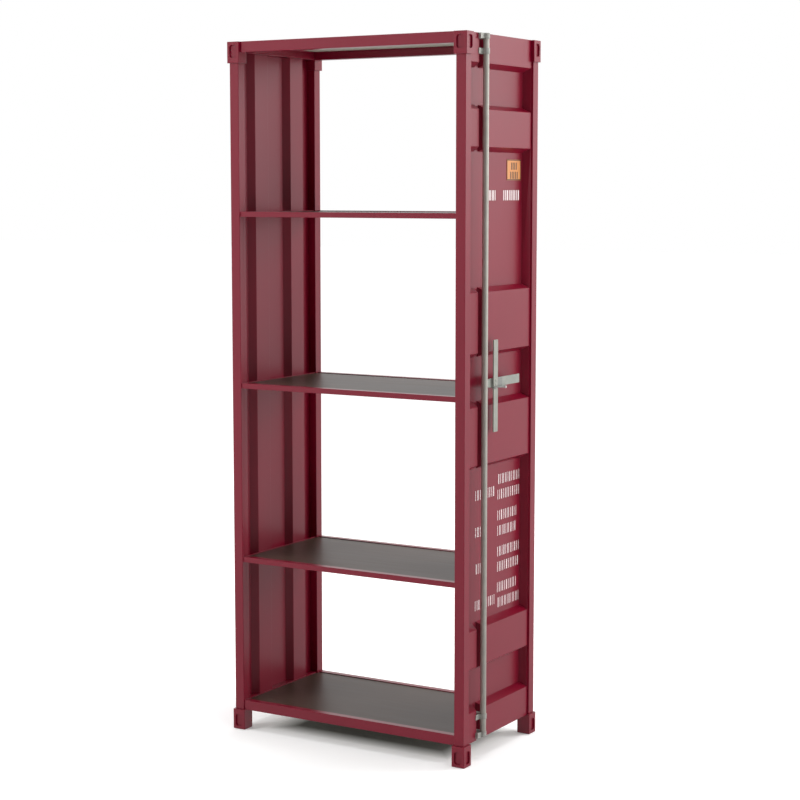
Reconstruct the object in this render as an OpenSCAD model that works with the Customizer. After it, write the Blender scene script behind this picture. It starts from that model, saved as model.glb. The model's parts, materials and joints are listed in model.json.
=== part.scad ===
// Tall open bookcase styled as a small shipping container: four posts between hollow corner
// castings, a corrugated left wall, a pressed door panel on the right with a turning lock rod,
// and framed boards as shelves. Millimetres. +X right, front faces -Y, +Z up. The origin is on
// the floor at the middle of the footprint, lock rod included.

/* [Overall] */
// Width over the corner castings
body_w = 780; // [700:10:1000]
// Depth over the corner castings
body_d = 430; // [400:10:520]
// Height over the corner castings
body_h = 2000; // [1950:10:2200]

/* [Frame] */
// Side of a square corner casting
casting_side = 40; // [38:1:46]
// Height of a corner casting
casting_h = 60; // [52:1:64]
// Side of a square post
post_side = 30; // [28:1:32]
// How far a post is set back from the faces of its castings
post_inset = 5; // [4:1:6]
// Wall of the posts and rails
tube_wall = 1.5; // [1.2:0.1:2]
// Radius of the long edges of posts and castings
edge_r = 1.2; // [0.8:0.2:3]
// How far the plastic glides lift the feet off the floor
glide_gap = 1.5; // [1:0.5:3]

/* [Shelves] */
// Height of the bottom shelf's rim
bottom_top = 88; // [86:1:92]
// Height of the lower shelf's rim
lower_top = 516; // [460:1:560]
// Height of the middle shelf's rim
middle_top = 1026; // [960:1:1080]
// Height of the upper shelf's rim
upper_top = 1520; // [1450:1:1560]
// Height of the skirt of a middle shelf frame
shelf_skirt = 15; // [14:1:20]
// Height of the rails around the top board
top_rail_h = 30; // [27:1:35]
// Width of the metal rim along the front and back of a shelf
rim_w = 20; // [18:1:24]
// How far shelves and rails stand back from the outer faces of the posts
setback = 3; // [2:0.5:4]
// Sheet of the folded frames and panels
sheet = 1.5; // [1.2:0.1:1.8]
// Thickness of a shelf board
board_t = 5; // [4:0.5:6]
// How far a board lies below its rim
board_recess = 2; // [1:0.5:3]
// Width of the ledge that carries a board
ledge_w = 12; // [10:1:14]

/* [Left wall] */
// Depth of the corrugations between like faces
wave_depth = 18.5; // [14:0.5:19]
// Pitch of the corrugations
wave_pitch = 180; // [176:1:184]
// Width of a corrugation's inner flat
wave_flat = 64; // [56:1:70]
// Run of a sloping flank
wave_run = 17; // [12:1:19]

/* [Door panel] */
// Heights of the raised bands and the recesses between them, from the bottom
door_rows = [85, 123, 106, 458, 161, 148, 165, 393, 100, 124, 78];
// Depth of the pressed recesses
press_depth = 23; // [18:0.5:23]
// Run of the sloping walls above and below a recess
press_run = 13; // [8:1:15]
// Run of the sloping walls at the ends of a recess
press_end_run = 9; // [6:1:12]
// Flat rim of the door panel beside the posts
door_rim = 3; // [2:0.5:5]
// Width of the upright groove behind the lock rod
groove_w = 48; // [44:1:54]

/* [Lock rod] */
// Diameter of the lock rod
rod_d = 17; // [14:0.5:18]
// Distance of the rod's axis behind the front of the castings
rod_setback = 111; // [105:1:120]
// How far the rod's axis stands out from the door panel's face
rod_stand_off = 8; // [8:0.5:9]
// Radial running clearance of the rod in its brackets
rod_clearance = 0.08; // [0.05:0.01:0.1]
// Height of the lever's middle
lever_z = 1054; // [1045:1:1080]
// Height of the flat lever bar
lever_h = 25; // [20:1:30]
// Length of the lever from the rod's axis
lever_reach = 201; // [180:1:220]
// Thickness of the lever and the grip bar
lever_t = 3.5; // [3:0.1:4]
// Length of the upright grip bar
grip_len = 255; // [200:5:300]
// Width of the grip bar
grip_w = 24; // [18:1:28]

/* [Hidden] */
$fn = 48;
eps = 0.01;

paint = "#8a1f33";
zinc = "#9a9c98";
board_colour = "#5d564f";

// Frame outline
x_out = body_w / 2;
y_out = body_d / 2;
casting_in_x = x_out - casting_side;
casting_in_y = y_out - casting_side;
post_out_x = x_out - post_inset;
post_in_x = post_out_x - post_side;
post_out_y = y_out - post_inset;
post_in_y = post_out_y - post_side;
top_z = body_h;
casting_skin = 3;
pocket_depth = 4.5;
pocket_w = 24;
pocket_h = 36;
pocket_r = 8;
pocket_end = 27;
drain_d = 12;
glide_d = 26;
glide_h = 4;

// Lock rod: its bracket noses are the outermost points on the right
door_x = x_out - 10;
rod_r = rod_d / 2;
rod_x = door_x + rod_stand_off;
rod_y = rod_setback - y_out;
bracket_r = rod_r + 1.5;
body_x = (x_out - rod_x - bracket_r) / 2;

// Door panel
door_z0 = 58;
door_floor_x = door_x - press_depth;
door_half_d = post_in_y;
row_scale = (top_z - door_z0) / total(door_rows, len(door_rows));
groove_floor_w = groove_w - 2 * press_run;

// Shelf frames. The ear widens a shelf on the left, between the posts, up to the wall.
shelf_y = post_out_y - setback;
end_rim_w = 2 * sheet;
board_gap = 0.5;
touch_gap = 0.3;
wall_in_x = -post_in_x - 5;
ear_w = -post_in_x - wall_in_x - touch_gap;
ear_y = post_in_y - touch_gap;

// Top rails
rail_out_x = post_out_x - setback;
rail_z0 = top_z - top_rail_h;
rail_side = 30;
right_rail_w = 15;

// Fasteners
bolt_r = 3;
bolt_head_r = 5.2;
bolt_head_h = 3.2;
bolt_len = 10;
insert_r = 4.5;
insert_len = 12;
bolt_y = shelf_y - rim_w / 2;
bolt_drop = sheet + bolt_head_r + 1;
shelf_tops = [bottom_top, lower_top, middle_top, upper_top];

// Rod brackets
bracket_h = 15;
bracket_floor = 3;
bottom_bracket_z = 65;
lower_bracket_z = 116;
upper_bracket_z = body_h - 55;
lug_reach = 29;
thin_lug = 2;
thick_lug = 8;
end_play = 0.3;

// Lever parts, from the rod outwards
lever_x = rod_x - lever_t / 2;
spacer_t = 3.2;
spacer_l = 56;
spacer_h = 29;
grip_x = rod_x + lever_t / 2 + spacer_t;
grip_y = rod_y + 49.5;
grip_drop = 9;
rivet_r = 2.5;
cross_z = lever_z - 13;
cross_t = 3.6;
cross_x = grip_x + 1.3;
rest_d = 7;
rest_y = 3;
rest_z = lever_z - lever_h / 2 - 0.5 - rest_d / 2;

function total(list, count) = count == 0 ? 0 : list[count - 1] + total(list, count - 1);
function row_z(i) = door_z0 + row_scale * total(door_rows, i);

// Everything fixed to the carcass is drawn about the carcass's own middle
module placed() {
    translate([body_x, 0, 0]) children();
}

module box(low, high) {
    translate(low) cube(high - low);
}

module rounded_square(size, r) {
    translate([r, 0]) square([size - 2 * r, size]);
    translate([0, r]) square([size, size - 2 * r]);
    for (x = [r, size - r], y = [r, size - r]) translate([x, y]) circle(r);
}

// Pocket with rounded corners, sunk from z = 0 upwards
module pocket(w, h, depth) {
    r = pocket_r;
    translate([0, 0, -eps]) linear_extrude(depth + eps) {
        square([w, h - 2 * r], center = true);
        square([w - 2 * r, h], center = true);
        for (x = [-1, 1], y = [-1, 1]) translate([x * (w / 2 - r), y * (h / 2 - r)]) circle(r);
    }
}

// Corner casting in the quadrant +X +Y with its outer end at z = 0 and its body above
module casting_blank(end_skin) {
    r = edge_r;
    skin = casting_skin + pocket_depth;
    translate([casting_in_x, casting_in_y, 0]) difference() {
        linear_extrude(casting_h) rounded_square(casting_side, r);
        box(
            [casting_skin, casting_skin, end_skin],
            [casting_side - skin, casting_side - skin, casting_h - casting_skin]
        );
        translate([casting_side, casting_side / 2, pocket_end])
            rotate([-90, 0, 90]) pocket(pocket_w, pocket_h, pocket_depth);
        translate([casting_side / 2, casting_side, pocket_end])
            rotate([90, 0, 0]) pocket(pocket_w, pocket_h, pocket_depth);
        translate([casting_side / 2, casting_side / 2, casting_h - 2 * casting_skin])
            cylinder(d = drain_d, h = 3 * casting_skin);
    }
}

// Top casting, with a third pocket in its upper face
module casting_top(sx, sy) {
    color(paint) placed() scale_sign(sx, sy) difference() {
        translate([0, 0, body_h]) mirror([0, 0, 1]) casting_blank(casting_skin + pocket_depth);
        translate([casting_in_x + casting_side / 2, casting_in_y + casting_side / 2, body_h])
            mirror([0, 0, 1]) pocket(28, pocket_w, pocket_depth);
    }
}

// Foot casting, with a round seat for its glide
module casting_foot(sx, sy) {
    color(paint) placed() scale_sign(sx, sy) difference() {
        casting_blank(casting_skin + pocket_depth);
        box(
            [casting_in_x - 1, casting_in_y - 1, -1],
            [x_out + 1, y_out + 1, glide_gap]
        );
        translate([casting_in_x + casting_side / 2, casting_in_y + casting_side / 2, 0])
            cylinder(d = glide_d + 2 * touch_gap, h = glide_h);
    }
}

module foot_glides() {
    color("dimgray") placed() for (sx = [-1, 1], sy = [-1, 1])
        translate([sx * (x_out - casting_side / 2), sy * (y_out - casting_side / 2), 0])
            cylinder(d = glide_d, h = glide_h);
}

// Mirrors the quadrant +X +Y into any corner
module scale_sign(sx, sy) {
    mirror([sx < 0 ? 1 : 0, 0, 0]) mirror([0, sy < 0 ? 1 : 0, 0]) children();
}

module post(sx, sy) {
    length = body_h - 2 * casting_h;
    cavity = post_side - 2 * tube_wall;
    color(paint) placed() scale_sign(sx, sy)
        translate([post_in_x, post_in_y, casting_h]) difference() {
            linear_extrude(length) rounded_square(post_side, edge_r);
            translate([tube_wall, tube_wall, -1]) linear_extrude(length + 2) square(cavity);
            for (top = shelf_tops)
                translate([-eps, bolt_y - post_in_y, top - bolt_drop - casting_h])
                    rotate([0, 90, 0]) cylinder(r = insert_r, h = tube_wall + 2 * eps);
        }
}

// Hollow rail along X (axis 0) or Y (axis 1), open at its ends
module rail(low, high, axis) {
    keep = [for (i = [0:2]) i == axis ? -1 : tube_wall];
    difference() {
        box(low, high);
        box(low + keep, high - keep);
    }
}

// Ledge on a top rail, level with those of the shelf frames
module top_ledge(low, high) {
    z = top_z - board_recess - board_t;
    box([low.x, low.y, z - sheet], [high.x, high.y, z]);
}

module long_top_rail(sy) {
    x = casting_in_x;
    y = shelf_y - rail_side;
    color(paint) placed() mirror([0, sy < 0 ? 1 : 0, 0]) {
        rail([-x, y, rail_z0], [x, shelf_y, top_z], 0);
        top_ledge([-x, y - ledge_w], [x - right_rail_w, y]);
    }
}

module top_rail_front() {
    long_top_rail(-1);
}

module top_rail_rear() {
    long_top_rail(1);
}

module top_rail_left() {
    y = shelf_y - rail_side - ledge_w;
    color(paint) placed() {
        rail([-rail_out_x, -casting_in_y, rail_z0], [-casting_in_x, casting_in_y, top_z], 1);
        top_ledge([-casting_in_x, -y], [ledge_w - casting_in_x, y]);
    }
}

module top_rail_right() {
    x = casting_in_x - right_rail_w;
    y = shelf_y - rail_side;
    color(paint) placed() {
        rail([x, -y, rail_z0], [casting_in_x, y, top_z], 1);
        top_ledge([x - ledge_w, ledge_w - y], [x, y - ledge_w]);
    }
}

// Rail under the corrugated wall, between the left posts
module sill_rail_left() {
    color(paint) placed()
        rail([-rail_out_x, -post_in_y, casting_h], [wall_in_x, post_in_y, bottom_top], 1);
}

// Room for the eight castings, cut from both side panels
module casting_room() {
    for (sx = [-1, 1], sy = [-1, 1], z = [-eps, body_h - casting_h])
        translate([sx * (x_out - casting_side / 2), sy * (y_out - casting_side / 2), z + casting_h / 2])
            cube([casting_side, casting_side, casting_h + 2 * eps], center = true);
}

// Half of the wall's section, from its middle to its edge, as [y, x] along one face.
// shift moves the face out by the sheet's thickness, square to every flat and flank.
function wave_half(shift) =
    let (
        lean = atan2(wave_depth, wave_run),
        turn = shift * tan(lean / 2),
        inner = wall_in_x - shift,
        outer = wall_in_x - wave_depth - shift,
        foot = wave_pitch / 2 - wave_flat / 2 - wave_run,
        rise = wave_pitch / 2 - wave_flat / 2,
        fall = wave_pitch / 2 + wave_flat / 2
    )
    [
        [foot - turn, outer], [rise - turn, inner],
        [fall + turn, inner], [fall + wave_run + turn, outer], [post_in_y, outer]
    ];

function mirrored(points) = [for (i = [len(points) - 1:-1:0]) [-points[i][0], points[i][1]]];

function reversed(points) = [for (i = [len(points) - 1:-1:0]) points[i]];

module left_wall_panel() {
    inside = concat(mirrored(wave_half(0)), wave_half(0));
    outside = concat(mirrored(wave_half(sheet)), wave_half(sheet));
    outline = [for (p = concat(inside, reversed(outside))) [p[1], p[0]]];
    color(paint) placed() difference() {
        translate([0, 0, bottom_top]) linear_extrude(rail_z0 - bottom_top) polygon(outline);
        casting_room();
    }
}

// Section of a pressed channel, open at the door's face. grow = 0 gives the hollow, and
// grow = sheet gives the outer side of the pressed metal.
function press_section(low, high, run, grow) =
    let (
        flank = sqrt(run * run + press_depth * press_depth),
        edge = grow * flank / press_depth,
        foot = run * (press_depth + grow) / press_depth - edge
    )
    [
        [door_x + (grow > 0 ? 0 : 1), low - edge], [door_x, low - edge],
        [door_floor_x - grow, low + foot], [door_floor_x - grow, high - foot],
        [door_x, high + edge], [door_x + (grow > 0 ? 0 : 1), high + edge]
    ];

// A pressed recess: where an upright and a level channel section cross
module recess(low, high, grow) {
    half = door_half_d - door_rim;
    intersection() {
        translate([0, 0, low - 10]) linear_extrude(high - low + 20)
            polygon(press_section(-half, half, press_end_run, grow));
        translate([0, door_half_d, 0]) rotate([90, 0, 0]) linear_extrude(2 * door_half_d)
            polygon(press_section(low, high, press_run, grow));
    }
}

module groove(grow) {
    low = rod_y - groove_w / 2;
    translate([0, 0, door_z0 - 1]) linear_extrude(top_z - door_z0 + 2)
        polygon(press_section(low, low + groove_w, press_run, grow));
}

module press_shape(grow) {
    groove(grow);
    for (i = [1:2:len(door_rows) - 2]) recess(row_z(i), row_z(i + 1), grow);
}

module door_panel() {
    back_x = casting_in_x;
    foot_x = post_in_x + touch_gap;
    color(paint) placed() difference() {
        union() {
            box([door_x - sheet, -door_half_d, door_z0], [door_x, door_half_d, top_z]);
            intersection() {
                press_shape(sheet);
                box([back_x, -door_half_d, door_z0], [door_x, door_half_d, top_z]);
            }
            box([back_x, -casting_in_y, top_z - sheet], [door_x, casting_in_y, top_z]);
            box([foot_x, -casting_in_y, door_z0], [door_x, casting_in_y, door_z0 + sheet]);
        }
        press_shape(0);
        at_rest() cylinder(r = rivet_r, h = 4 * sheet, center = true);
        casting_room();
    }
}

// Outline of a shelf between the posts, drawn in by inset_x at its ends and inset_y at its
// front and back
function shelf_outline(inset_x, inset_y) =
    let (
        x = post_in_x - inset_x,
        y = shelf_y - inset_y,
        side = min(ear_y - inset_x, y)
    )
    [
        [x, -y], [x, y], [-x, y], [-x, side],
        [-x - ear_w, side], [-x - ear_w, -side], [-x, -side], [-x, -y]
    ];

// Folded shelf frame: skirt, rim, inner web and the ledge that the board lies on
module shelf_frame(top, skirt) {
    ledge_z = top - board_recess - board_t;
    color(paint) placed() difference() {
        translate([0, 0, top - skirt]) linear_extrude(skirt) polygon(shelf_outline(0, 0));
        difference() {
            translate([0, 0, top - skirt - 1]) linear_extrude(skirt - sheet + 1)
                polygon(shelf_outline(sheet, sheet));
            translate([0, 0, ledge_z - sheet]) linear_extrude(top)
                polygon(shelf_outline(end_rim_w - sheet, rim_w - sheet));
        }
        translate([0, 0, ledge_z]) linear_extrude(top)
            polygon(shelf_outline(end_rim_w, rim_w));
        translate([0, 0, top - skirt - 1]) linear_extrude(top)
            polygon(shelf_outline(end_rim_w + ledge_w, rim_w + ledge_w));
        for (sx = [-1, 1], sy = [-1, 1])
            translate([sx * post_in_x, sy * bolt_y, top - bolt_drop])
                rotate([0, 90, 0]) cylinder(r = bolt_r + 0.2, h = 4 * sheet, center = true);
    }
}

module shelf_board(top) {
    color(board_colour) placed() translate([0, 0, top - board_recess - board_t])
        linear_extrude(board_t)
            polygon(shelf_outline(end_rim_w + board_gap, rim_w + board_gap));
}

module top_board() {
    x = casting_in_x - board_gap;
    y = shelf_y - rail_side - board_gap;
    z = top_z - board_recess;
    color(board_colour) placed() box([-x, -y, z - board_t], [x - right_rail_w, y, z]);
}

// Places its children at every bolt, on the post's inner face, with +Z into the post
module at_bolts() {
    placed() for (sx = [-1, 1], sy = [-1, 1], top = shelf_tops)
        translate([sx * post_in_x, sy * bolt_y, top - bolt_drop])
            rotate([0, sx * 90, 0]) children();
}

// Button-head bolts with hexagon sockets
module shelf_bolts() {
    color("silver") at_bolts() difference() {
        union() {
            translate([0, 0, -sheet - bolt_head_h]) cylinder(r = bolt_head_r, h = bolt_head_h);
            translate([0, 0, -sheet - eps]) cylinder(r = bolt_r, h = bolt_len + sheet);
        }
        translate([0, 0, -sheet - bolt_head_h - eps]) cylinder(r = 2.3, h = 2, $fn = 6);
    }
}

module threaded_inserts() {
    color("gold") at_bolts() difference() {
        cylinder(r = insert_r, h = insert_len);
        translate([0, 0, -eps]) cylinder(r = bolt_r + 0.05, h = insert_len + 2 * eps);
    }
}

// Bearing bracket: a block from the groove's floor to a round nose over the rod, with a lug
// on the door's face in front of the groove. A bracket with a floor carries the rod's end.
module rod_bracket(z0, height, floor_t, lug_t) {
    color(zinc) placed() difference() {
        union() {
            box([door_floor_x, rod_y - bracket_r, z0], [rod_x, rod_y + bracket_r, z0 + height]);
            box([door_x, rod_y - lug_reach, z0], [door_x + lug_t, rod_y, z0 + height]);
            translate([rod_x, rod_y, z0]) cylinder(r = bracket_r, h = height);
        }
        translate([rod_x, rod_y, z0 + floor_t - (floor_t > 0 ? 0 : 1)])
            cylinder(r = rod_r + rod_clearance, h = height + 2);
    }
}

module rod_bracket_top() {
    rod_bracket(top_z - bracket_h, bracket_h, 0, thick_lug);
}

module rod_bracket_upper() {
    rod_bracket(upper_bracket_z, bracket_h, 0, thin_lug);
}

module rod_bracket_lower() {
    rod_bracket(lower_bracket_z, bracket_h, 0, thin_lug);
}

module rod_bracket_bottom() {
    rod_bracket(bottom_bracket_z, bracket_h, bracket_floor, thick_lug);
}

// Places its children on the recess floor under the lever, with +Z out of the door
module at_rest() {
    translate([door_floor_x, rest_y, rest_z]) rotate([0, 90, 0]) children();
}

// Peg that the closed lever lies on, riveted over behind the door panel
module lever_rest() {
    color(zinc) placed() at_rest() {
        cylinder(d = rest_d, h = rod_x + bracket_r - door_floor_x);
        translate([0, 0, -sheet - eps]) cylinder(r = rivet_r, h = sheet + 2 * eps);
        translate([0, 0, -sheet - 1.5]) cylinder(r = 4.5, h = 1.5);
    }
}

// Rivet with its root at z = 0 and a domed head past the given grip length
module rivet(grip_length) {
    dome_h = 1.5;
    dome_r = (4.5 * 4.5 + dome_h * dome_h) / (2 * dome_h);
    cylinder(r = rivet_r, h = grip_length);
    translate([0, 0, grip_length]) intersection() {
        translate([0, 0, dome_h - dome_r]) sphere(dome_r);
        cylinder(r = 4.5, h = dome_h);
    }
}

// Plain orange plate on the floor of the large upper recess
module label_plate() {
    z = row_z(7) + 304;
    color("orange") placed() box([door_floor_x, 75, z], [door_floor_x + 1, 159, z + 58]);
}

module lock_rod() {
    z0 = bottom_bracket_z + bracket_floor + end_play;
    color(zinc) placed() translate([rod_x, rod_y, z0]) cylinder(r = rod_r, h = top_z - 1 - z0);
}

// Flat lever, its root shaped round the rod and tapered down to the weld
module lever() {
    root = 20;
    half_h = lever_h / 2;
    root_half_h = 10;
    color(zinc) placed() difference() {
        translate([lever_x, rod_y, lever_z]) rotate([90, 0, 90]) linear_extrude(lever_t)
            polygon([
                [0, -root_half_h], [root_half_h, -root_half_h], [root + 8, -half_h],
                [lever_reach, -half_h], [lever_reach, half_h],
                [root + 8, half_h], [root_half_h, root_half_h], [0, root_half_h]
            ]);
        translate([rod_x, rod_y, lever_z - lever_h])
            cylinder(r = rod_r, h = 2 * lever_h);
        at_grip_rivets(lever_x) translate([0, 0, -eps]) cylinder(r = rivet_r, h = 2 * lever_t);
    }
}

module at_grip_rivets(x) {
    for (rise = [-5, 7])
        translate([x, grip_y, lever_z + rise]) rotate([0, 90, 0]) children();
}

// Spacer between the lever and the grip bar
module grip_spacer() {
    low_y = grip_y - grip_w / 2;
    mid_z = lever_z - 1.5;
    color(zinc) placed() difference() {
        box(
            [rod_x + lever_t / 2, low_y, mid_z - spacer_h / 2],
            [grip_x, low_y + spacer_l, mid_z + spacer_h / 2]
        );
        at_grip_rivets(rod_x) cylinder(r = rivet_r, h = 20);
    }
}

module grip_bar() {
    mid_z = lever_z - grip_drop;
    color(zinc) placed() difference() {
        box(
            [grip_x, grip_y - grip_w / 2, mid_z - grip_len / 2],
            [grip_x + lever_t, grip_y + grip_w / 2, mid_z + grip_len / 2]
        );
        at_grip_rivets(rod_x) cylinder(r = rivet_r, h = 20);
        box(
            [cross_x, grip_y - grip_w, cross_z - cross_t + 0.3],
            [grip_x + 2 * lever_t, grip_y + grip_w, cross_z + cross_t - 0.3]
        );
    }
}

module grip_rivets() {
    color("silver") placed() at_grip_rivets(lever_x) rivet(grip_x + lever_t - lever_x);
}

// Square bar let into the grip bar's face, its end beside the rest
module cross_bar() {
    color(zinc) placed() box(
        [cross_x, grip_y - grip_w / 2, cross_z - cross_t / 2],
        [cross_x + cross_t, rest_y - rest_d / 2 - 1, cross_z + cross_t / 2]
    );
}

casting_top(-1, -1);  // casting_top_front_left
casting_top(-1, 1);  // casting_top_rear_left
casting_top(1, -1);  // casting_top_front_right
casting_top(1, 1);  // casting_top_rear_right
casting_foot(-1, -1);  // casting_foot_front_left
casting_foot(-1, 1);  // casting_foot_rear_left
casting_foot(1, -1);  // casting_foot_front_right
casting_foot(1, 1);  // casting_foot_rear_right
foot_glides();
post(-1, -1);  // post_front_left
post(-1, 1);  // post_rear_left
post(1, -1);  // post_front_right
post(1, 1);  // post_rear_right
top_rail_front();
top_rail_rear();
top_rail_left();
top_rail_right();
sill_rail_left();
left_wall_panel();
door_panel();
shelf_frame(upper_top, shelf_skirt);  // upper_shelf_frame
shelf_frame(middle_top, shelf_skirt);  // middle_shelf_frame
shelf_frame(lower_top, shelf_skirt);  // lower_shelf_frame
shelf_frame(bottom_top, bottom_top - casting_h);  // bottom_shelf_frame
top_board();
shelf_board(upper_top);  // upper_shelf_board
shelf_board(middle_top);  // middle_shelf_board
shelf_board(lower_top);  // lower_shelf_board
shelf_board(bottom_top);  // bottom_shelf_board
shelf_bolts();
threaded_inserts();
rod_bracket_top();
rod_bracket_upper();
rod_bracket_lower();
rod_bracket_bottom();
lever_rest();
label_plate();
lock_rod();
lever();
grip_spacer();
grip_bar();
grip_rivets();
cross_bar();
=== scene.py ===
"""Looks of the open container-style bookcase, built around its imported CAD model.

The CAD pieces keep their shapes and get materials and small rounded edges. The script adds the
painted marks, the floor, the camera, the lights and the surroundings. Everything is in metres.
"""

import json
import math

import bmesh
import bpy
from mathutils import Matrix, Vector


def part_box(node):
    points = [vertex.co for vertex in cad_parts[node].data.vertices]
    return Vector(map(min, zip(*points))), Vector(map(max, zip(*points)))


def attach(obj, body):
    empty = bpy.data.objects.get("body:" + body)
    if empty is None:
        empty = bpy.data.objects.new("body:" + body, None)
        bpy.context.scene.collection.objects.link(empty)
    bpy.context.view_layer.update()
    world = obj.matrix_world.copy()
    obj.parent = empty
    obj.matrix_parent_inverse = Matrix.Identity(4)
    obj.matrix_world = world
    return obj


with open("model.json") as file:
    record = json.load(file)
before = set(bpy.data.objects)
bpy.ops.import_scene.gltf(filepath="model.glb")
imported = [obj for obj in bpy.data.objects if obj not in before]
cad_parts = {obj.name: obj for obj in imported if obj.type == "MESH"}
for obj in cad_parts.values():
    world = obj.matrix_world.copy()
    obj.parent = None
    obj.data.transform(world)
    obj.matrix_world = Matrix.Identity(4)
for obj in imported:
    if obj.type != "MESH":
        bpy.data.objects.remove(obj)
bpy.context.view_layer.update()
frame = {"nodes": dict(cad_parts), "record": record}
NODES = frame["nodes"]
MM = 0.001
scene = bpy.context.scene


# ---------------------------------------------------------------- node helpers
class Nodes:
    """Short names for building any node tree."""

    def __init__(self, tree):
        self.tree = tree
        self.tree.nodes.clear()

    def node(self, kind, **props):
        n = self.tree.nodes.new(kind)
        for key, value in props.items():
            setattr(n, key, value)
        return n

    def put(self, socket, value):
        """Feeds a socket from another node's output, or sets it to a plain value."""
        if hasattr(value, "is_output"):
            self.tree.links.new(value, socket)
        else:
            socket.default_value = value

    def axes(self, vector):
        n = self.node("ShaderNodeSeparateXYZ")
        self.put(n.inputs[0], vector)
        return n.outputs

    def math(self, op, a, b=0.0):
        n = self.node("ShaderNodeMath", operation=op)
        self.put(n.inputs[0], a)
        self.put(n.inputs[1], b)
        return n.outputs[0]

    def span(self, value, low, high, to_low, to_high, shape="LINEAR"):
        """Maps low..high to to_low..to_high, and holds the end values outside."""
        n = self.node("ShaderNodeMapRange", interpolation_type=shape)
        self.put(n.inputs[0], value)
        for i, end in enumerate((low, high, to_low, to_high)):
            n.inputs[i + 1].default_value = end
        return n.outputs[0]


class Graph(Nodes):
    """A new material with one Principled shader."""

    def __init__(self, name):
        self.mat = bpy.data.materials.new(name)
        self.mat.use_nodes = True
        super().__init__(self.mat.node_tree)
        self.out = self.node("ShaderNodeOutputMaterial")
        self.bsdf = self.node("ShaderNodeBsdfPrincipled")
        self.put(self.out.inputs[0], self.bsdf.outputs[0])

    def set(self, **values):
        """Sets the shader's inputs by name, with an underscore for each space."""
        for key, value in values.items():
            self.put(self.bsdf.inputs[key.replace("_", " ")], value)

    def object_point(self):
        return self.node("ShaderNodeTexCoord").outputs["Object"]

    def coords(self, scale=(1, 1, 1)):
        m = self.node("ShaderNodeMapping")
        m.inputs["Scale"].default_value = scale
        self.put(m.inputs[0], self.object_point())
        return m.outputs[0]

    def noise(self, vector, scale, detail, rough):
        n = self.node("ShaderNodeTexNoise")
        self.put(n.inputs["Vector"], vector)
        n.inputs["Scale"].default_value = scale
        n.inputs["Detail"].default_value = detail
        n.inputs["Roughness"].default_value = rough
        return n.outputs["Fac"]

    def ramp(self, fac, *stops):
        """A colour ramp through (position, red-green-blue) stops."""
        n = self.node("ShaderNodeValToRGB")
        self.put(n.inputs[0], fac)
        elements = n.color_ramp.elements
        while len(elements) < len(stops):
            elements.new(0.5)
        for element, (position, colour) in zip(elements, stops):
            element.position = position
            element.color = (*colour, 1)
        return n.outputs[0]

    def mix(self, fac, a, b, mode="MIX"):
        """Mixes two colours; a Mix node's colour sockets are inputs 6 and 7 and output 2."""
        n = self.node("ShaderNodeMix", data_type="RGBA", blend_type=mode)
        self.put(n.inputs[0], fac)
        self.put(n.inputs[6], a)
        self.put(n.inputs[7], b)
        return n.outputs[2]

    def bump(self, height, strength, distance, normal=None):
        n = self.node("ShaderNodeBump")
        n.inputs["Strength"].default_value = strength
        n.inputs["Distance"].default_value = distance
        self.put(n.inputs["Height"], height)
        if normal is not None:
            self.put(n.inputs["Normal"], normal)
        return n.outputs[0]


def scaled(colour, factor):
    return tuple(c * factor for c in colour)


# ---------------------------------------------------------------- materials
def red_enamel():
    """Dark red satin-gloss enamel: soft reflections over a faintly clouded, faintly wavy skin."""
    g = Graph("red_enamel")
    at = g.coords()
    cloud = g.noise(at, scale=4.0, detail=2.0, rough=0.5)
    base = g.ramp(cloud, (0.1, (0.154, 0.0010, 0.0130)), (0.9, (0.180, 0.0018, 0.0168)))
    fleck = g.noise(at, scale=700.0, detail=2.0, rough=0.6)
    dust = g.span(fleck, 0.55, 0.85, 0.0, 0.02)
    dust_colour = (0.30, 0.05, 0.06, 1)
    g.set(Base_Color=g.mix(dust, base, dust_colour))
    # A range that crosses about 0.27 leaves faint contour lines in the denoised picture
    g.set(Roughness=g.span(cloud, 0.1, 0.9, 0.28, 0.33))
    swell = g.noise(at, scale=9.0, detail=1.0, rough=0.4)
    peel = g.noise(at, scale=220.0, detail=2.0, rough=0.45)
    wavy = g.bump(swell, strength=0.03, distance=2.0 * MM)
    g.set(Normal=g.bump(peel, strength=0.025, distance=0.15 * MM, normal=wavy))
    g.set(IOR=1.5)
    return g.mat


def dark_board():
    """Dark brown laminated board: a close straight grain under satin lacquer; faces that look down
    are painted pale grey, a painted reflection.
    """
    g = Graph("dark_board")
    normal = g.axes(g.node("ShaderNodeNewGeometry").outputs["Normal"])
    under = g.span(normal[2], -0.5, -0.9, 0.0, 1.0)
    plank = g.noise(g.coords((1.4, 30.0, 30.0)), scale=2.0, detail=5.0, rough=0.6)
    pores = g.noise(g.coords((12.0, 500.0, 500.0)), scale=1.0, detail=3.0, rough=0.6)
    tone = g.ramp(
        plank,
        (0.25, (0.052, 0.032, 0.024)),
        (0.50, (0.062, 0.039, 0.030)),
        (0.75, (0.072, 0.047, 0.036)),
    )
    shade = g.span(pores, 0.35, 0.60, 0.82, 1.0)
    face = g.mix(1.0, tone, shade, "MULTIPLY")
    # Painted reflection: faces that look down get a pale grey in place of the dark brown
    underside_painted_light = g.ramp(pores, (0.3, (0.35, 0.35, 0.285)), (0.7, (0.40, 0.40, 0.325)))
    g.set(Base_Color=g.mix(under, face, underside_painted_light))
    g.set(Roughness=g.span(plank, 0.3, 0.7, 0.38, 0.43))
    g.set(Normal=g.bump(pores, strength=0.05, distance=0.08 * MM))
    g.set(Specular_IOR_Level=0.24)
    return g.mat


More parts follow.
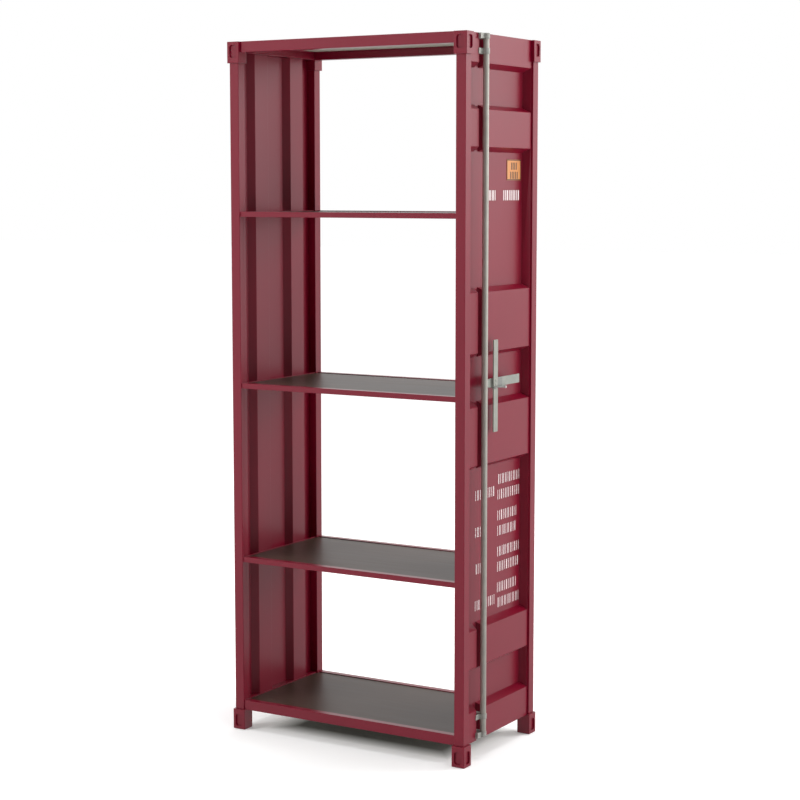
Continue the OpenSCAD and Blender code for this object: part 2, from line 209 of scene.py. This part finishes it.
def drawn_steel(name, tone, rough, axis, metallic):
    """Galvanised steel: fine drawn lines along one axis over a faint mottling."""
    g = Graph(name)
    across_lines, along_lines = 260.0, 5.0
    stretch = [across_lines] * 3
    stretch[axis] = along_lines
    drawn = g.noise(g.coords(stretch), scale=6.0, detail=3.0, rough=0.6)
    mottle = g.noise(g.coords(), scale=45.0, detail=3.0, rough=0.55)
    light = scaled(tone, 1.08)
    body = g.ramp(mottle, (0.30, scaled(tone, 0.92)), (0.70, light))
    streak = g.span(drawn, 0.35, 0.65, 0.0, 0.3)
    g.set(Base_Color=g.mix(streak, body, (*light, 1)))
    g.set(Roughness=g.span(drawn, 0.3, 0.7, rough - 0.04, rough + 0.04))
    g.set(Normal=g.bump(drawn, strength=0.04, distance=0.04 * MM))
    g.set(Metallic=metallic)
    return g.mat


def flecked(name, low, high, rough, scale, bump, metallic=0.0):
    """A surface with fine flecks from one colour to another, and a slight grain."""
    g = Graph(name)
    spot = g.noise(g.coords(), scale=scale, detail=4.0, rough=0.6)
    g.set(Base_Color=g.ramp(spot, (0.3, low), (0.7, high)))
    g.set(Roughness=g.span(spot, 0.3, 0.7, rough - 0.05, rough + 0.05))
    g.set(Normal=g.bump(spot, strength=bump, distance=0.08 * MM))
    g.set(Metallic=metallic)
    return g.mat


ALONG_Y, ALONG_Z = 1, 2
RED = red_enamel()
BOARD = dark_board()
ROD_STEEL = drawn_steel(
    "galvanised_rod", (0.41, 0.39, 0.35), rough=0.36, axis=ALONG_Z, metallic=0.45)
LEVER_STEEL = drawn_steel(
    "galvanised_lever", (0.265, 0.275, 0.245), rough=0.34, axis=ALONG_Y, metallic=0.35)
GRIP_STEEL = drawn_steel(
    "galvanised_grip", (0.285, 0.29, 0.255), rough=0.36, axis=ALONG_Z, metallic=0.35)
BRACKET_STEEL = flecked(
    "zinc_bracket", (0.29, 0.29, 0.265), (0.38, 0.38, 0.35),
    rough=0.45, scale=160.0, bump=0.15, metallic=0.3)
# Painted shade: a darker copy of the galvanised steel, for the grip spacer and cross bar, which sit
# in shadow
SHADED_STEEL = flecked(
    "painted_shade_steel", (0.20, 0.205, 0.19), (0.26, 0.265, 0.25),
    rough=0.5, scale=160.0, bump=0.15, metallic=0.3)
BRIGHT_STEEL = flecked(
    "bright_fastener", (0.60, 0.60, 0.59), (0.76, 0.76, 0.75),
    rough=0.22, scale=500.0, bump=0.05, metallic=1.0)
PEG_STEEL = flecked(
    "zinc_peg", (0.50, 0.48, 0.46), (0.60, 0.58, 0.56),
    rough=0.35, scale=200.0, bump=0.05, metallic=0.3)
BRASS = flecked(
    "brass_insert", (0.50, 0.34, 0.12), (0.66, 0.47, 0.18),
    rough=0.3, scale=400.0, bump=0.05, metallic=1.0)
GLIDE_PLASTIC = flecked(
    "glide_plastic", (0.012, 0.012, 0.012), (0.024, 0.024, 0.024), rough=0.55, scale=900.0, bump=0.2)
ORANGE = flecked(
    "orange_plate", (0.52, 0.205, 0.055), (0.60, 0.25, 0.08), rough=0.42, scale=120.0, bump=0.05)
WHITE_INK = flecked(
    "white_marking", (0.74, 0.70, 0.69), (0.86, 0.83, 0.82), rough=0.45, scale=260.0, bump=0.15)
# Black for the printed bars, and for the painted shade round the orange plate's edges
BLACK_INK_AND_SHADE = flecked(
    "black_marking_and_painted_shade", (0.018, 0.013, 0.012), (0.035, 0.028, 0.026), rough=0.5, scale=260.0, bump=0.1)

SLOT_LOOKS = {
    "red_paint": RED,
    "shelf_board": BOARD,
    "zinc_steel": ROD_STEEL,
    "bright_steel": BRIGHT_STEEL,
    "brass": BRASS,
    "orange_plate": ORANGE,
    "black_plastic": GLIDE_PLASTIC,
}
NODE_LOOKS = {
    "lever": LEVER_STEEL,
    "lever_rest": PEG_STEEL,
    "grip_bar": GRIP_STEEL,
    "grip_rivets": GRIP_STEEL,
    "grip_spacer": SHADED_STEEL,
    "cross_bar": SHADED_STEEL,
}
# Widths of the rounded edges; the brass inserts stay sharp
EDGE_WIDTHS = {
    "red_paint": 0.7 * MM,
    "shelf_board": 0.4 * MM,
    "zinc_steel": 0.5 * MM,
    "bright_steel": 0.25 * MM,
    "orange_plate": 0.2 * MM,
    "black_plastic": 0.5 * MM,
}
SHARP_ANGLE = math.radians(28)
WELD_GAP = 0.01 * MM


def look_of(name, slot):
    if name.startswith("rod_bracket"):
        return BRACKET_STEEL
    return NODE_LOOKS.get(name, SLOT_LOOKS[slot])


def give_look(obj, look):
    if not obj.material_slots:
        obj.data.materials.append(look)
    for material_slot in obj.material_slots:
        material_slot.material = look


def round_edges(obj, width):
    weld = obj.modifiers.new("weld", "WELD")
    weld.merge_threshold = WELD_GAP
    bevel = obj.modifiers.new("edge", "BEVEL")
    bevel.width = width
    bevel.segments = 2
    bevel.limit_method = "ANGLE"
    bevel.angle_limit = SHARP_ANGLE
    bevel.use_clamp_overlap = True


for row in frame["record"]["subparts"]:
    name, slot = row["node"], row["material_slot"]
    give_look(NODES[name], look_of(name, slot))
    if slot in EDGE_WIDTHS:
        round_edges(NODES[name], EDGE_WIDTHS[slot])


# ---------------------------------------------------------------- painted marks
MAX_CHAMFER = 0.25 * MM
CHAMFER_SHARE = 0.6       # of a slab's thickness
DOOR_INK = 0.25 * MM      # thickness of the paint on the door panel
PLATE_INK = 0.2 * MM      # and on the orange plate
MARK_WIDTH = 13.0 * MM
MARK_PITCH = 16.6 * MM
MARK_HEIGHT = 28.0 * MM
BOLD = 3.4 * MM           # widths of one bar of a pair
FINE = 2.0 * MM
LONE_BAR = 1.8            # times as wide as one of a pair
BLOCK_PITCH = 103.5 * MM  # from one block of the lower marks to the next


def add_slab(bm, x0, x1, y0, y1, z0, z1):
    """A thin slab with small chamfers round its outer (+X) face."""
    c = min(MAX_CHAMFER, (x1 - x0) * CHAMFER_SHARE)
    rings = []
    for x, inset in ((x0, 0), (x1 - c, 0), (x1, c)):
        rings.append([
            bm.verts.new((x, y0 + inset, z0 + inset)), bm.verts.new((x, y1 - inset, z0 + inset)),
            bm.verts.new((x, y1 - inset, z1 - inset)), bm.verts.new((x, y0 + inset, z1 - inset)),
        ])
    for a, b in zip(rings, rings[1:]):
        for i in range(4):
            j = (i + 1) % 4
            bm.faces.new((a[i], a[j], b[j], b[i]))
    bm.faces.new(rings[-1])
    bm.faces.new(list(reversed(rings[0])))


def mesh_piece(name, bm, material, body):
    """A new piece that rides on a body, with the given material."""
    bmesh.ops.recalc_face_normals(bm, faces=bm.faces)
    mesh = bpy.data.meshes.new(name)
    bm.to_mesh(mesh)
    bm.free()
    mesh.materials.append(material)
    obj = bpy.data.objects.new(name, mesh)
    scene.collection.objects.link(obj)
    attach(obj, body)


plate_low, plate_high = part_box("label_plate")
DOOR_FACE = plate_low.x   # the plate lies on the recess's floor, and so do the marks


def mark_row(bm, y, z, count, seed, bar):
    """A row of plain upright bars, single and paired in turn, in place of painted figures."""
    lone = LONE_BAR * bar
    for i in range(count):
        start = y + i * MARK_PITCH
        if (i * 3 + seed) % 4 == 0:
            bars = (((MARK_WIDTH - lone) / 2, lone),)
        else:
            bars = ((0, bar), (MARK_WIDTH - bar, bar))
        for offset, width in bars:
            y0 = start + offset
            add_slab(bm, DOOR_FACE, DOOR_FACE + DOOR_INK, y0, y0 + width, z, z + MARK_HEIGHT)


def door_marks():
    """One row under the orange plate, and four blocks of three rows in the large lower recess."""
    bm = bmesh.new()
    upper_z, top_block_z = 1553 * MM, 756 * MM
    mark_row(bm, -53 * MM, upper_z, count=4, seed=0, bar=BOLD)
    mark_row(bm, 57 * MM, upper_z, count=6, seed=1, bar=BOLD)
    word_y, figure_y = -97 * MM, 33 * MM
    second_drop, word_drop = 44 * MM, 30 * MM
    for i, (upper, lower, word) in enumerate(((8, 8, 7), (7, 7, 4), (8, 8, 3), (7, 8, 7))):
        z = top_block_z - i * BLOCK_PITCH
        mark_row(bm, figure_y, z, upper, i, FINE)
        mark_row(bm, figure_y, z - second_drop, lower, i + 1, FINE)
        mark_row(bm, word_y, z - word_drop, word, i + 2, FINE)
    mesh_piece("painted_marks", bm, WHITE_INK, "carcass")


def plate_marks():
    """A thin black band of painted shade round the edge of the orange plate, and two rows of plain
    bars inside it.
    """
    bm = bmesh.new()
    face = plate_high.x
    rim, line = 0.5 * MM, 2.4 * MM
    y0, y1 = plate_low.y + rim, plate_high.y - rim
    z0, z1 = plate_low.z + rim, plate_high.z - rim
    # Painted shade: black bars along the plate's four edges
    painted_edge_shade = (
        (y0, y1, z0, z0 + line), (y0, y1, z1 - line, z1),
        (y0, y0 + line, z0 + line, z1 - line), (y1 - line, y1, z0 + line, z1 - line),
    )
    for sides in painted_edge_shade:
        add_slab(bm, face, face + PLATE_INK, *sides)
    middle = (y0 + y1) / 2
    bar, height = 4.6 * MM, 20 * MM
    first_drop, row_pitch = 28.0 * MM, 25.5 * MM
    for row, (count, run) in enumerate(((4, 33 * MM), (5, 45 * MM))):
        z = z1 - first_drop - row * row_pitch
        for i in range(count):
            y = middle - run / 2 + i * (run - bar) / (count - 1)
            add_slab(bm, face, face + PLATE_INK, y, y + bar, z, z + height)
    mesh_piece("plate_marks", bm, BLACK_INK_AND_SHADE, "carcass")


door_marks()
plate_marks()


# ---------------------------------------------------------------- floor and camera
def flat_grid(name, size, segments, material):
    """A flat square from -size to size, with its material."""
    bm = bmesh.new()
    bmesh.ops.create_grid(bm, x_segments=segments, y_segments=segments, size=size)
    mesh = bpy.data.meshes.new(name)
    bm.to_mesh(mesh)
    bm.free()
    mesh.materials.append(material)
    obj = bpy.data.objects.new(name, mesh)
    scene.collection.objects.link(obj)
    return obj


def white_floor():
    """Matt white, with a painted shadow under the object, and glowing more the farther it is from
    it, outside that shadow.
    """
    g = Graph("floor_white")
    at = g.object_point()
    x, y, _ = g.axes(at)
    # How far a point lies inside the painted shadow; the painted shadow thins towards the sides,
    # where more light comes in
    half_width, half_depth, side_run = 0.353, 0.215, 0.15
    across = g.span(g.math("ABSOLUTE", x), half_width, half_width - side_run, 0.0, 0.17)
    along = g.math("SUBTRACT", half_depth, g.math("ABSOLUTE", y))
    inside = g.math("MINIMUM", across, along)
    outside_painted_shadow = g.span(inside, 0.04, 0.125, 1.0, 0.0)
    tone = (0.93, 0.93, 0.93)
    spot = g.noise(at, scale=3.0, detail=2.0, rough=0.5)
    white = g.ramp(spot, (0.3, scaled(tone, 0.99)), (0.7, tone))
    # Painted shadow: inside the patch the white drops to 0.3 of itself, and the glow goes out
    g.set(Base_Color=g.mix(outside_painted_shadow, (*scaled(tone, 0.3), 1), white))
    g.set(Roughness=0.9, Specular_IOR_Level=0.0)
    distance = g.node("ShaderNodeVectorMath", operation="LENGTH")
    g.put(distance.inputs[0], at)
    glow = g.span(distance.outputs["Value"], 0.8, 5.0, 0.20, 0.60)
    g.set(Emission_Color=(1, 1, 1, 1), Emission_Strength=g.math("MULTIPLY", glow, outside_painted_shadow))
    return g.mat


floor = flat_grid("floor", size=40.0, segments=2, material=white_floor())
floor.visible_glossy = False

cam_data = bpy.data.cameras.new("camera")
cam = bpy.data.objects.new("camera", cam_data)
scene.collection.objects.link(cam)
cam.location = (2.862, -4.660, 1.582)
TILT_DOWN, TURN_LEFT = 6.30, 31.1
cam.rotation_euler = (math.radians(90 - TILT_DOWN), 0, math.radians(TURN_LEFT))
cam_data.lens = 85.65
cam_data.sensor_width = 36
cam_data.clip_end = 200
scene.camera = cam


# ---------------------------------------------------------------- lights and surroundings
AIM = Vector((0, 0, 1.0))


def area(name, location, side, power):
    """A square soft light aimed at the object's middle, hidden from its reflections."""
    light = bpy.data.lights.new(name, "AREA")
    light.shape = "RECTANGLE"
    light.size = side
    light.size_y = side
    light.energy = power
    obj = bpy.data.objects.new(name, light)
    obj.location = location
    obj.rotation_euler = (AIM - Vector(location)).to_track_quat("-Z", "Y").to_euler()
    obj.visible_glossy = False
    scene.collection.objects.link(obj)


area("key_left", (-3.6, -4.6, 3.4), side=2.6, power=160)
area("back_right", (3.4, 3.4, 2.4), side=2.6, power=145)
area("overhead", (0.2, 0.3, 5.0), side=3.0, power=170)


def studio_world():
    """A bright ring round the horizon, dark by the camera; the camera itself sees plain white."""
    world = bpy.data.worlds.new("studio")
    scene.world = world
    world.use_nodes = True
    w = Nodes(world.node_tree)

    def light(strength):
        n = w.node("ShaderNodeBackground")
        n.inputs["Color"].default_value = (1, 1, 1, 1)
        w.put(n.inputs["Strength"], strength)
        return n.outputs[0]

    x, y, z = w.axes(w.node("ShaderNodeTexCoord").outputs["Generated"])
    # The level unit direction that is kept dark: to the front, a little to the right
    front_x, front_y = 0.29, -0.957
    toward = w.math("ADD", w.math("MULTIPLY", x, front_x), w.math("MULTIPLY", y, front_y))
    around = w.span(toward, 0.66, 0.86, 1.12, 0.0, "SMOOTHSTEP")
    # Dimmer below the horizon, and again high above it
    rise = w.span(z, -0.55, 0.05, 0.22, 1.0, "SMOOTHSTEP")
    fade = w.span(z, 0.36, 0.62, 1.0, 0.36, "SMOOTHSTEP")
    ring = w.math("MULTIPLY", w.math("MULTIPLY", around, rise), fade)
    pick = w.node("ShaderNodeMixShader")
    w.put(pick.inputs[0], w.node("ShaderNodeLightPath").outputs["Is Camera Ray"])
    w.put(pick.inputs[1], light(ring))
    w.put(pick.inputs[2], light(1.0))
    w.put(w.node("ShaderNodeOutputWorld").inputs[0], pick.outputs[0])


def panel_glow():
    """A see-through glow that grows to the right and towards the top."""
    g = Graph("soft_panel")
    g.tree.nodes.remove(g.bsdf)
    x, y, _ = g.axes(g.object_point())
    strength = g.math("MULTIPLY", g.span(x, -0.65, 0.0, 0.45, 2.0), g.span(y, -0.35, 0.9, 0.0, 2.0))
    glow = g.node("ShaderNodeEmission")
    g.put(glow.inputs["Strength"], strength)
    both = g.node("ShaderNodeAddShader")
    g.put(both.inputs[0], glow.outputs[0])
    g.put(both.inputs[1], g.node("ShaderNodeBsdfTransparent").outputs[0])
    g.put(g.out.inputs[0], both.outputs[0])
    return g.mat


studio_world()

# A tall soft panel behind on the right, for the door panel's reflections
panel = flat_grid("soft_panel", size=1.0, segments=1, material=panel_glow())
panel.location = (2.15, 2.5, 1.6)
panel.rotation_euler = (math.radians(90), 0, 0)
panel.scale = (0.65, 1.5, 1.0)
panel.visible_camera = False
panel.visible_shadow = False

scene.view_settings.view_transform = "Standard"
scene.view_settings.look = "None"
